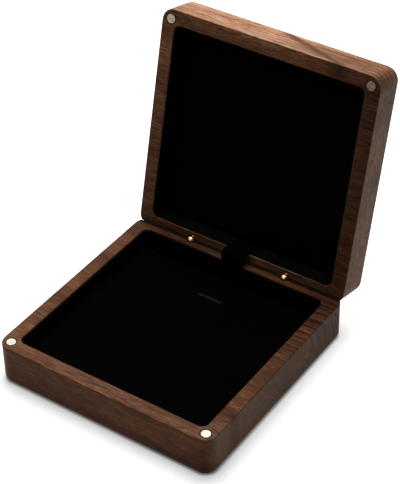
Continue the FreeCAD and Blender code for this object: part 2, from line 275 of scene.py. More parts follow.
@dataclass(frozen=True)
class DarkBand:
    """A dark band through a plank, used for dark figure in the grain and for painted shade.

    Attributes:
        across: Direction across the band, in the plank.
        offset: How far the band lies along that direction.
        width: Half its width.
        along: Where along the plank's X it begins and where it is in full.
        inward: Where along the plank's Y it begins and where it is in full.
        strength: How much it darkens the wood.
    """

    across: Place
    offset: float
    width: float
    along: Span
    inward: Span
    strength: float

    def shade(self, graph: Graph, place: Socket) -> Socket:
        """Draws the band.

        Args:
            graph: The material's nodes.
            place: Place in the plank.

        Returns:
            The socket of how much the band darkens the wood there.
        """
        axes = graph.split(place)
        depth = graph.vector_math("DOT_PRODUCT", place, self.across, "Value")
        off_middle = graph.math("ABSOLUTE", graph.minus(depth, self.offset))
        near = graph.remap(off_middle, (0.0, self.width), (self.strength, 0.0))
        reach = graph.times(graph.remap(axes["X"], self.along), graph.remap(axes["Y"], self.inward))
        return graph.times(near, reach)


@dataclass(frozen=True)
class Walnut(Finish):
    """Oiled walnut with its grain along X.

    Attributes:
        turn: Turn of the block about X, in radians.
        shift: Where in the plank the block was cut, in metres.
        pith: Middle of the growth rings across the grain, as Y and Z.
        ring_spacing: Distance between growth rings.
        ring_zone: Where along the plank's Y the rings go from faint to bold.
        ring_side: Where along the plank's X the rings go from a fifth of their strength to all of it.
        ring_strength: How much faint and bold rings show.
        level: Tone of the wood, from 0 for dark to 1 for pale.
        front: Which way along the plank's Y the block's front faces, as -1 or 1.
        front_shading: How much paler the front is than the other faces, as painted light; below 0, painted
            shade.
        lid_shade_span: Where along the plank's Y it begins and ends to turn pale, away from the lid's painted
            shade.
        lid_shade: How much paler it turns there.
        streakiness: How much its streaks differ.
        dark_bands: Its dark bands, of dark figure and of painted shade.
        bores: Middles of the magnets' bores in its rim, in the plank.
        seam_shade_y: Where along the plank's Y the painted shade in the gap at the hinge edge begins and is
            in full.
        seam_shade_z: Where along the plank's Z it begins and is in full.
        foot_shade_height: Height below which its foot darkens: painted shade where it meets the floor.
        dark_end: Where along the plank's X it begins and ends to turn dark: partly the wood's tone, partly
            painted shade.
        darkening: How much darker it turns there.
        dark: Colour of late wood.
        seam_shade_colour: Colour of the painted shade in the gap at the hinge edge.
        middle: Colour between the rings.
        light: Colour of early wood.
        pale: Colour of the palest wood.
        warm: Tint of the reddish patches.
        cool: Tint of the greyish patches.
        end_tint_and_sheen: Tint of the end grain: its own greyer tone, and on the lid also painted light and
            sheen.
        end_figure: Share of the figure that shows on the end grain.
    """

    # Patterns that make the grain
    DRIFT = Pattern((9.0, 26.0, 26.0))
    SEASONS = Pattern((2.0, 75.0, 75.0), detail=1.0)
    STREAKS = Pattern((32.0, 330.0, 330.0), detail=4.0, roughness=0.6)
    FIBRES = Pattern((170.0, 1900.0, 1900.0), roughness=0.6)
    BANDS = Pattern((7.0, 60.0, 60.0))
    FLECKS = Pattern((520.0, 2400.0, 2400.0), detail=1.0)
    PATCHES = Pattern((11.0, 95.0, 95.0), detail=1.0)

    # How the patterns turn into tones
    DRIFT_MIDDLE = (0.5, 0.5, 0.5)
    DRIFT_REACH = 9.0 * MM
    SEASON_REACH = 3.0
    RING_TAPER = 0.03
    RING_SHARPNESS = 3.5
    RING_LEVEL = 0.22
    FAINT_SIDE = 0.2
    SPREAD = (0.25, 0.75)
    BAND_SPREAD = (0.30, 0.70)
    PORE_SPREAD = (0.55, 0.66)
    FIBRE_STRENGTH = 0.24
    BAND_STRENGTH = 0.12
    PORE_STRENGTH = 0.40
    FOOT_SHADE_STRENGTH = 0.35
    TONES = (0.0, 0.42, 0.68, 1.0)
    PATCH_TONES = (0.38, 0.62)

    # Which way a face looks to count as end grain or as front
    END_FACING = (0.55, 0.95)
    FRONT_FACING = (0.6, 0.9)

    # Painted shade in rings round the bores, near the rim
    BORE_SHADE_RING = (2.15 * MM, 2.75 * MM)
    BORE_SHADE_RISE = (12.0 * MM, 14.0 * MM)

    # Gloss of dark and of pale wood, and depth of the pores
    GLOSS = (0.56, 0.42)
    SHINE = 0.06
    RELIEF = 0.06 * MM
    RELIEF_STRENGTH = 0.35

    turn: float = 0.0
    shift: Place = ORIGIN
    pith: Point = (-0.150, -0.020)
    ring_spacing: float = 3.6 * MM
    ring_zone: Span = (2.0 * MM, 24.0 * MM)
    ring_side: Span = (-20.0 * MM, 30.0 * MM)
    ring_strength: Span = (0.06, 0.70)
    level: float = 0.30
    front: float = -1.0
    front_shading: float = -0.12
    lid_shade_span: Span = (46.0 * MM, -46.0 * MM)
    lid_shade: float = 0.26
    streakiness: float = 0.16
    dark_bands: tuple[DarkBand, ...] = ()
    bores: tuple[Point, ...] = ()
    seam_shade_y: Span = (45.2 * MM, 45.8 * MM)
    seam_shade_z: Span = (16.0 * MM, 17.2 * MM)
    foot_shade_height: float = 0.0
    dark_end: Span = (5.0 * MM, 48.0 * MM)
    darkening: float = 0.12
    dark: Colour = (0.022, 0.0070, 0.0026)
    seam_shade_colour: Colour = (0.007, 0.0026, 0.0011)
    middle: Colour = (0.118, 0.0445, 0.0190)
    light: Colour = (0.245, 0.1030, 0.0480)
    pale: Colour = (0.650, 0.3550, 0.2150)
    warm: Colour = (1.06, 0.97, 0.88)
    cool: Colour = (0.94, 1.02, 1.10)
    end_tint_and_sheen: Colour = (0.90, 1.07, 1.04)
    end_figure: float = 0.5

    def place(self, graph: Graph) -> Socket:
        """Returns the surface's place in the plank, in metres."""
        inputs = {"Vector": super().place(graph), "Location": self.shift, "Rotation": (self.turn, 0.0, 0.0)}
        return graph.add("ShaderNodeMapping", inputs, vector_type="POINT").outputs["Vector"]

    def facing(self, graph: Graph) -> bpy.types.NodeOutputs:
        """Finds the direction that the surface faces, in the plank.

        Args:
            graph: The material's nodes.

        Returns:
            Its three parts, by the names X, Y and Z.
        """
        normal = graph.add("ShaderNodeTexCoord").outputs["Normal"]
        inputs = {"Vector": normal, "Rotation": (self.turn, 0.0, 0.0)}
        return graph.split(graph.add("ShaderNodeMapping", inputs, vector_type="VECTOR").outputs["Vector"])

    def flow(self, graph: Graph, place: Socket) -> Socket:
        """Bends the plank as the grain is bent.

        Args:
            graph: The material's nodes.
            place: Place in the plank.

        Returns:
            The bent place's socket.
        """
        drift = self.DRIFT.draw(graph, place, "Color")
        centred = graph.vector_math("SUBTRACT", drift, self.DRIFT_MIDDLE)
        bend = graph.vector_math("MULTIPLY", centred, (0.0, self.DRIFT_REACH, self.DRIFT_REACH))
        return graph.vector_math("ADD", place, bend)

    def rings(self, graph: Graph, flowing: Socket) -> Socket:
        """Draws the growth rings: 0 in early wood, rising to 1 at the end of late wood.

        Args:
            graph: The material's nodes.
            flowing: Place in the plank, bent as the grain is.

        Returns:
            The rings' socket.
        """
        from_pith = graph.vector_math("SUBTRACT", flowing, (0.0, *self.pith))
        across = graph.vector_math("MULTIPLY", from_pith, (self.RING_TAPER, 1.0, 1.0))
        distance = graph.vector_math("LENGTH", across, output="Value")
        even = graph.math("DIVIDE", distance, self.ring_spacing)
        seasons = self.SEASONS.draw(graph, flowing)
        years = graph.plus(even, graph.times(seasons, self.SEASON_REACH))
        return graph.math("POWER", graph.math("FRACT", years), self.RING_SHARPNESS)

    def bore_shade(self, graph: Graph, place: Socket) -> Socket:
        """Draws dark rings round the bores: painted shade of the gap round each magnet.

        Args:
            graph: The material's nodes.
            place: Place in the plank.

        Returns:
            The socket of their strength, from 0 to 1.
        """
        height = graph.split(place)["Z"]
        flat = graph.vector_math("MULTIPLY", place, (1.0, 1.0, 0.0))
        nearest = 1.0
        for bore in self.bores:
            distance = graph.vector_math("DISTANCE", flat, (*bore, 0.0), "Value")
            nearest = graph.math("MINIMUM", distance, nearest)
        ring = graph.remap(nearest, self.BORE_SHADE_RING, (1.0, 0.0))
        return graph.times(ring, graph.remap(height, self.BORE_SHADE_RISE))

    def paint(self, graph: Graph) -> dict[str, Value]:
        """Lays rings, streaks, fibres and pores over each other.

        Args:
            graph: The material's nodes.

        Returns:
            The shader's inputs, by name.
        """
        place = self.place(graph)
        flowing = self.flow(graph, place)
        axes = graph.split(place)
        facing = self.facing(graph)
        end_grain = graph.remap(graph.math("ABSOLUTE", facing["X"]), self.END_FACING)
        fibres = self.FIBRES.draw(graph, place)
        pores = graph.remap(self.FLECKS.draw(graph, place), self.PORE_SPREAD)

        bold = graph.remap(axes["Y"], self.ring_zone, self.ring_strength)
        bold = graph.times(bold, graph.remap(axes["X"], self.ring_side, (self.FAINT_SIDE, 1.0)))
        figure = graph.times(graph.minus(self.RING_LEVEL, self.rings(graph, flowing)), bold)
        for pattern, spread, strength in (
            (self.STREAKS.draw(graph, flowing), self.SPREAD, self.streakiness),
            (fibres, self.SPREAD, self.FIBRE_STRENGTH),
            (self.BANDS.draw(graph, flowing), self.BAND_SPREAD, self.BAND_STRENGTH),
        ):
            figure = graph.plus(figure, graph.remap(pattern, spread, (-strength, strength)))
        figure = graph.times(figure, graph.remap(end_grain, WHOLE, (1.0, self.end_figure)))
        # Painted light and shade: paler towards the front, darker at the back where the lid shades the tray
        figure = graph.plus(figure, graph.remap(axes["Y"], self.lid_shade_span, (0.0, self.lid_shade)))
        # Darker towards the right end: partly the wood's own tone, partly painted shade; not on the end grain
        darkening = graph.remap(end_grain, WHOLE, (self.darkening, 0.0))
        figure = graph.minus(figure, graph.remap(axes["X"], self.dark_end, (0.0, darkening)))
        # Painted light and shade on the front face, by the way it faces: paler on the lid's top, darker on
        # the base's front
        front_facing = (self.FRONT_FACING[0] * self.front, self.FRONT_FACING[1] * self.front)
        figure = graph.plus(figure, graph.remap(facing["Y"], front_facing, (0.0, self.front_shading)))
        # Dark bands: dark figure in the grain, and painted shade where a band stands for it
        for dark_band in self.dark_bands:
            figure = graph.minus(figure, dark_band.shade(graph, flowing))
        # Painted shade: the foot darkens towards the floor
        if self.foot_shade_height:
            foot_shade = graph.remap(axes["Z"], (self.foot_shade_height, 0.0), (0.0, self.FOOT_SHADE_STRENGTH))
            figure = graph.minus(figure, foot_shade)
        tone = graph.plus(figure, self.level)

        wood = graph.ramp(tone, self.TONES, (self.dark, self.middle, self.light, self.pale))
        colour = graph.mix(graph.times(pores, self.PORE_STRENGTH), wood, self.dark)
        tint = graph.ramp(self.PATCHES.draw(graph, flowing), self.PATCH_TONES, (self.cool, self.warm))
        colour = graph.mix(1.0, colour, tint, "MULTIPLY")
        # End grain tint: the grain's own tone, and on the lid painted light and sheen
        colour = graph.mix(end_grain, colour, graph.mix(1.0, colour, self.end_tint_and_sheen, "MULTIPLY"))
        # Painted shade along the gap at the hinge edge
        hinge_shade = graph.times(graph.remap(axes["Y"], self.seam_shade_y), graph.remap(axes["Z"], self.seam_shade_z))
        colour = graph.mix(hinge_shade, colour, self.seam_shade_colour)
        # Painted shade round the magnets' bores
        colour = graph.mix(self.bore_shade(graph, place), colour, self.dark)
        return {
            "Base Color": colour,
            "Roughness": graph.remap(tone, WHOLE, self.GLOSS),
            "Normal": graph.bump(graph.minus(fibres, pores), self.RELIEF, self.RELIEF_STRENGTH),
            "Specular IOR Level": self.SHINE,
        }


@dataclass(frozen=True)
class Velvet(Finish):
    """Black velvet with a short nap.

    Attributes:
        deep: Colour of the nap where it lies away.
        raised: Colour of the nap where it stands up.
        sheen: Strength of the sheen at a glancing angle.
    """

    BRUSHED = Pattern((110.0, 60.0, 110.0))
    BRUSHED_SHARE = 0.6
    NAP = Pattern((4200.0, 4200.0, 4200.0), detail=1.0)
    NAP_SHARE = 0.4
    NAP_DEPTH = 0.15 * MM
    TONES = (0.3, 0.7)

    deep: Colour
    raised: Colour
    sheen: float = 0.004

    def paint(self, graph: Graph) -> dict[str, Value]:
        """Lays a fine nap over soft brushed patches.

        Args:
            graph: The material's nodes.

        Returns:
            The shader's inputs, by name.
        """
        place = self.place(graph)
        brushed = graph.times(self.BRUSHED.draw(graph, place), self.BRUSHED_SHARE)
        nap = self.NAP.draw(graph, place)
        lie = graph.plus(brushed, graph.times(nap, self.NAP_SHARE))
        return {
            "Base Color": graph.ramp(lie, self.TONES, (self.deep, self.raised)),
            "Normal": graph.bump(nap, self.NAP_DEPTH, strength=0.5),
            "Roughness": 1.0,
            "Specular IOR Level": 0.01,
            "Sheen Weight": self.sheen,
            "Sheen Roughness": 0.45,
        }


@dataclass(frozen=True)
class SatinRibbon(Finish):
    """Black satin ribbon, woven across its length.

    Attributes:
        dark: Colour between the threads.
        bright: Colour on the threads.
        threads: Threads in each metre of its length.
    """

    UNEVEN = Pattern((700.0, 700.0, 700.0))
    UNEVEN_SPREAD = (0.3, 0.7)
    THREAD_HEIGHTS = (0.6, 1.0)
    THREAD_DEPTH = 0.05 * MM
    TONES = (0.1, 0.9)

    dark: Colour = (0.0004, 0.0004, 0.0005)
    bright: Colour = (0.0011, 0.0011, 0.0012)
    threads: float = 4500.0

    def paint(self, graph: Graph) -> dict[str, Value]:
        """Weaves fine threads across the ribbon.

        Args:
            graph: The material's nodes.

        Returns:
            The shader's inputs, by name.
        """
        along = graph.add("ShaderNodeAttribute", attribute_name=StayRibbon.ALONG).outputs["Fac"]
        thread = graph.math("ABSOLUTE", graph.math("SINE", graph.times(along, self.threads * math.pi)))
        uneven = self.UNEVEN.draw(graph, self.place(graph))
        weave = graph.times(thread, graph.remap(uneven, self.UNEVEN_SPREAD, self.THREAD_HEIGHTS))
        return {
            "Base Color": graph.ramp(weave, self.TONES, (self.dark, self.bright)),
            "Normal": graph.bump(weave, self.THREAD_DEPTH, strength=0.4),
            "Roughness": 0.70,
            "Specular IOR Level": 0.004,
        }


@dataclass(frozen=True)
class Grained(Finish):
    """A surface of two colours in an even, fine grain.

    Attributes:
        first: One colour of its grain.
        second: The other colour.
        grain: Grains in each metre.
        dent: Depth of the grain.
    """

    first: Colour
    second: Colour
    grain: float
    dent: float

    def speckle(self, graph: Graph) -> Socket:
        """Returns the grain's pattern, around 0.5."""
        waves = (self.grain, self.grain, self.grain)
        return Pattern(waves, detail=3.0, roughness=0.6).draw(graph, self.place(graph))


@dataclass(frozen=True)
class Metal(Grained):
    """Plated or turned metal with a slightly uneven gloss, clean in its first colour and duller in its
    second.

    Attributes:
        gloss: Roughness of the clean metal and of the duller patches.
    """

    PATCH_SPREAD = (0.3, 0.7)

    gloss: Span

    def paint(self, graph: Graph) -> dict[str, Value]:
        """Mottles the metal.

        Args:
            graph: The material's nodes.

        Returns:
            The shader's inputs, by name.
        """
        patches = graph.remap(self.speckle(graph), self.PATCH_SPREAD)
        return {
            "Base Color": graph.mix(patches, self.first, self.second),
            "Roughness": graph.remap(patches, WHOLE, self.gloss),
            "Normal": graph.bump(patches, self.dent, strength=0.5),
            "Metallic": 1.0,
        }


@dataclass(frozen=True)
class Matte(Grained):
    """A dull, slightly grainy surface, such as card or foam."""

    TONES = (0.35, 0.65)

    def paint(self, graph: Graph) -> dict[str, Value]:
        """Speckles the surface.

        Args:
            graph: The material's nodes.

        Returns:
            The shader's inputs, by name.
        """
        speckle = self.speckle(graph)
        return {
            "Base Color": graph.ramp(speckle, self.TONES, (self.first, self.second)),
            "Normal": graph.bump(speckle, self.dent, strength=0.6),
            "Roughness": 0.95,
            "Specular IOR Level": 0.2,
        }


@dataclass(frozen=True)
class LidStand:
    """Where the open lid stands.

    Attributes:
        axis: A point on the hinge axis.
        open_angle: How far the lid is open, in radians.
    """

    axis: Vector
    open_angle: float

    @classmethod
    def from_joint(cls, name: str) -> "LidStand":
        """Returns the stand that the lid's joint of this name gives."""
        joint = next(j for j in frame["joints"] if j["name"] == name)
        return cls(Vector(joint["pos_m"]), math.radians(joint["range_deg"][1]))

    @property
    def lean(self) -> float:
        """Turn about X from the lid lying rim up to the lid standing open."""
        return math.pi - self.open_angle

    def placement(self) -> Matrix:
        """Returns the place of a lid that is drawn rim up, with its hinge axis at the origin."""
        leaning = Matrix.Translation(self.axis) @ Matrix.Rotation(self.lean, 4, "X")
        return leaning @ Matrix.Rotation(math.pi, 4, "Z")


def dress(finish: Finish, *nodes: str) -> None:
    """Gives solids of the model their finish.

    Args:
        finish: The finish.
        *nodes: Names of the solids.
    """
    material = finish.material()
    for node in nodes:
        mesh = frame["nodes"][node].data
        mesh.materials.clear()
        mesh.materials.append(material)
        log.info("%s: %s", node, finish.name)


def box_in(node: str, placement: Matrix) -> tuple[Vector, Vector]:
    """Measures a solid in a frame of its own.

    Args:
        node: Name of the solid.
        placement: Place of that frame in the box's frame.

    Returns:
        The lowest and the highest corner.
    """
    back = placement.inverted()
    corners = [back @ vertex.co for vertex in frame["nodes"][node].data.vertices]
    low = Vector(min(c[i] for c in corners) for i in range(3))
    high = Vector(max(c[i] for c in corners) for i in range(3))
    return low, high


def new_object(name: str, data: bpy.types.ID) -> bpy.types.Object:
    """Puts a mesh, curve, lamp or camera into the scene.

    Args:
        name: Name of the object.
        data: What it shows, in the box's frame.

    Returns:
        The object.
    """
    made = bpy.data.objects.new(name, data)
    bpy.context.scene.collection.objects.link(made)
    return made


@dataclass(frozen=True)
class Slit:
    """A slit in the top of a pad.

    Attributes:
        middle: Its middle.
        length: Its length along X.
        width: Its width.
        shows_core: Whether it gapes enough to show what is inside the pad.
    """

    WALL = 0.06 * MM

    middle: Point
    length: float
    width: float
    shows_core: bool = False

    def beyond(self, x: float, y: float) -> float:
        """Measures how far a point lies outside the slit.

        Args:
            x: Place across.
            y: Place along.

        Returns:
            The distance, or 0 inside the slit.
        """
        over_x = max(abs(x - self.middle[0]) - self.length / 2, 0.0)
        over_y = max(abs(y - self.middle[1]) - self.width / 2, 0.0)
        return math.hypot(over_x, over_y)

    def covers(self, x: float, y: float) -> bool:
        """Tells whether a point lies in the slit."""
        return self.beyond(x, y) < TOUCH

    def is_floor(self, x: float, y: float) -> bool:
        """Tells whether a point lies on the slit's floor, clear of its walls."""
        fits_x = abs(x - self.middle[0]) < self.length / 2 - self.WALL
        return fits_x and abs(y - self.middle[1]) < self.width / 2 - self.WALL


@dataclass
class PaddedInsert:
    """A board with foam on it and a velvet cover drawn over both.

    The insert is drawn face up in a frame of its own, and placement puts it into the box.

    Attributes:
        name: Name of the piece.
        body: The body that it moves with.
        cover: The solid of its cover.
        stood_for: The solids that it stands for.
        placement: Place of its own frame in the box's frame.
        corner_radius: Radius of its corners, seen from above.
        edge_round: Radius of its upper edge.
        crown: How far its middle rises above its edge.
        crown_reach: How far in from the edge the rise goes.
        waist: How far its sides are drawn in between the corners.
        hem: Thickness of the cover where it is folded under.
        board: Thickness of the board that lies in the hem.
        unevenness: How far the surface strays from its even form.
        step: Greatest distance between its mesh lines.
        lip: How far the surface bends down into a slit.
        slit_depth: Depth of the slits.
        slits: The slits in its top.
    """

    # Mesh lines over the edge, the corners and inside a slit's wall
    EDGE_ANGLES = (0, 18, 36, 54, 72, 90)
    CORNER_SHARES = (0.75, 1.0)
    WALL_LINE = 0.12 * MM

    # Swells and ripples of the surface, in waves per metre, and the calm strip along its edge
    SWELLS = 70.0
    RIPPLES = 190.0
    RIPPLE_SHARE = 0.5
    CALM_EDGE = 4.0 * MM

    # How sharply the waist sits at the outline
    WAIST_POWER = 6

    # Heights of the cover's side above its underside, how its low edge turns in, and its gap to the board
    SIDE_HEIGHTS = (2.5 * MM, 0.7 * MM)
    LOW_EDGE = 0.2 * MM
    HEM_TURN = 0.6
    BOARD_GAP = 0.05 * MM

    name: str
    body: Body
    cover: str
    stood_for: tuple[str, ...]
    placement: Matrix
    corner_radius: float = 3.2 * MM
    edge_round: float = 1.8 * MM
    crown: float = 0.6 * MM
    crown_reach: float = 22.0 * MM
    waist: float = 0.25 * MM
    hem: float = 0.6 * MM
    board: float = 1.5 * MM
    unevenness: float = 0.10 * MM
    step: float = 1.4 * MM
    lip: float = 0.5 * MM
    slit_depth: float = 3.5 * MM
    slits: tuple[Slit, ...] = ()
    low: Vector = field(init=False)
    high: Vector = field(init=False)

    def __post_init__(self) -> None:
        """Takes the insert's size from its solid."""
        self.low, self.high = box_in(self.cover, self.placement)

    @property
    def lip_reach(self) -> float:
        """How far from a slit the surface begins to bend down."""
        return 3 * self.lip

    def lines(self, axis: int) -> list[float]:
        """Chooses the mesh lines across one axis: close together over the edge and the slits.

        Args:
            axis: 0 for X, 1 for Y.

        Returns:
            The lines' places.
        """
        start, end = self.low[axis], self.high[axis]
        curve = [self.edge_round * (1 - math.cos(math.radians(a))) for a in self.EDGE_ANGLES]
        corner = [self.corner_radius * share for share in self.CORNER_SHARES]
        marks = set()
        for inset in curve + corner:
            marks.update((start + inset, end - inset))
        for slit in self.slits:
            half = (slit.length, slit.width)[axis] / 2
            for offset in (-self.WALL_LINE, 0.0, self.lip / 3, self.lip, self.lip_reach):
                marks.update((slit.middle[axis] - half - offset, slit.middle[axis] + half + offset))
        placed = sorted(marks)
        filled = []
        for near, far in zip(placed, placed[1:]):
            parts = max(1, math.ceil((far - near) / self.step))
            filled += [near + (far - near) * part / parts for part in range(parts)]
        return filled + [placed[-1]]

    def inset_of(self, x: float, y: float) -> float:
        """Returns how far a point lies inside the outline."""
        return max(0.0, min(x - self.low.x, self.high.x - x, y - self.low.y, self.high.y - y))

    def height(self, x: float, y: float) -> float:
        """Gives the height of the cover's upper face.

        Args:
            x: Place across.
            y: Place along.

        Returns:
            The height in the insert's own frame.
        """
        past_edge = self.inset_of(x, y) - self.edge_round
        if past_edge < 0:
            shoulder = self.high.z - self.crown
            return shoulder - self.edge_round + math.sqrt(max(self.edge_round**2 - past_edge**2, 0.0))
        share = min(past_edge / (self.crown_reach - self.edge_round), 1.0)
        level = self.high.z - self.crown * (1 - share) ** 2
        swell = noise.noise(Vector((x, y, 0.0)) * self.SWELLS)
        swell += self.RIPPLE_SHARE * noise.noise(Vector((x, y, 1.0)) * self.RIPPLES)
        level += self.unevenness * swell * min(1.0, past_edge / self.CALM_EDGE)
        for slit in self.slits:
            beyond = slit.beyond(x, y)
            if slit.covers(x, y):
                return level - (self.slit_depth if slit.is_floor(x, y) else self.lip)
            if beyond < self.lip_reach:
                level -= self.lip * (1 - beyond / self.lip_reach) ** 3
        return level

    def rounded(self, x: float, y: float) -> Point:
        """Bends the square outline's corners round and draws its sides in.

        Args:
            x: Place across on the square outline.
            y: Place along.

        Returns:
            The place on the rounded outline.
        """
        radius = self.corner_radius
        middle_y = (self.low.y + self.high.y) / 2
        half_x, half_y = self.high.x, (self.high.y - self.low.y) / 2
        u, v = x, y - middle_y
        inner_x, inner_y = half_x - radius, half_y - radius
        if abs(u) > inner_x and abs(v) > inner_y:
            s = (abs(u) - inner_x) / radius
            t = (abs(v) - inner_y) / radius
            u = math.copysign(inner_x + radius * s * math.sqrt(1 - t * t / 2), u)
            v = math.copysign(inner_y + radius * t * math.sqrt(1 - s * s / 2), v)
        pull_x = self.waist * (abs(u) / half_x) ** self.WAIST_POWER * max(0.0, 1 - (v / inner_y) ** 2)
        pull_y = self.waist * (abs(v) / half_y) ** self.WAIST_POWER * max(0.0, 1 - (u / inner_x) ** 2)
        return u - math.copysign(pull_x, u), v - math.copysign(pull_y, v) + middle_y

    def outward(self, x: float, y: float) -> Vector:
        """Finds the direction that points out of the outline.

        Args:
            x: Place across, on the outline.
            y: Place along.

        Returns:
            The direction, of length 1.
        """
        core_x = min(max(x, self.low.x + self.corner_radius), self.high.x - self.corner_radius)
        core_y = min(max(y, self.low.y + self.corner_radius), self.high.y - self.corner_radius)
        return Vector((x - core_x, y - core_y, 0.0)).normalized()

    def fold_under(self, shape: bmesh.types.BMesh, border: list[bmesh.types.BMVert]) -> None:
        """Draws the cover down the sides, folds it under the board and closes it above the board.

        Args:
            shape: The mesh to add to.
            border: Its vertices round the edge of the upper face, in order.
        """
        base = self.low.z
        steps = [(0.0, base + height) for height in self.SIDE_HEIGHTS]
        steps += [
            (self.LOW_EDGE, base + self.LOW_EDGE),
            (self.hem * self.HEM_TURN, base),
            (self.hem, base),
            (self.hem, base + self.board + self.BOARD_GAP),
        ]
        outlines = [(vertex.co.copy(), self.outward(vertex.co.x, vertex.co.y)) for vertex in border]
        above = border
        for inset, level in steps:
            ring = []
            for place, out in outlines:
                lower = place - out * inset
                ring.append(shape.verts.new((lower.x, lower.y, level)))
            for i in range(len(ring)):
                j = (i + 1) % len(ring)
                shape.faces.new((above[i], ring[i], ring[j], above[j])).smooth = True
            above = ring
        shape.faces.new(above)

    def mark_slits(self, shape: bmesh.types.BMesh) -> None:
        """Gives the walls and floors of the gaping slits the core's finish.

        Args:
            shape: The mesh, already in place.
        """
        back = self.placement.inverted()
        gaping = [slit for slit in self.slits if slit.shows_core]
        for face in shape.faces:
            middle = back @ face.calc_center_median()
            deep = middle.z < self.high.z - self.crown - 2 * self.lip
            if deep and any(slit.covers(middle.x, middle.y) for slit in gaping):
                face.material_index = 1

    def build(self, cover: Material, core: Material) -> None:
        """Builds the piece as a closed form.

        Args:
            cover: Finish of the cover.
            core: Finish inside the slits.
        """
        columns, rows = self.lines(0), self.lines(1)
        shape = bmesh.new()
        top = [
            [shape.verts.new((*self.rounded(x, y), self.height(x, y))) for x in columns]
            for y in rows
        ]
        for near, far in zip(top, top[1:]):
            for a, b, c, d in zip(near, near[1:], far[1:], far):
                shape.faces.new((a, b, c, d)).smooth = True
        border = top[0] + [row[-1] for row in top[1:]] + top[-1][-2::-1] + [row[0] for row in top[-2:0:-1]]
        self.fold_under(shape, border)
        shape.transform(self.placement)
        bmesh.ops.recalc_face_normals(shape, faces=shape.faces)
        mesh = bpy.data.meshes.new(self.name)
        self.mark_slits(shape)
        shape.to_mesh(mesh)
        shape.free()
        mesh.materials.append(cover)
        mesh.materials.append(core)
        piece = new_object(self.name, mesh)
        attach(piece, self.body.value)
        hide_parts(*self.stood_for)
        log.info("%s: %d faces", self.name, len(mesh.polygons))


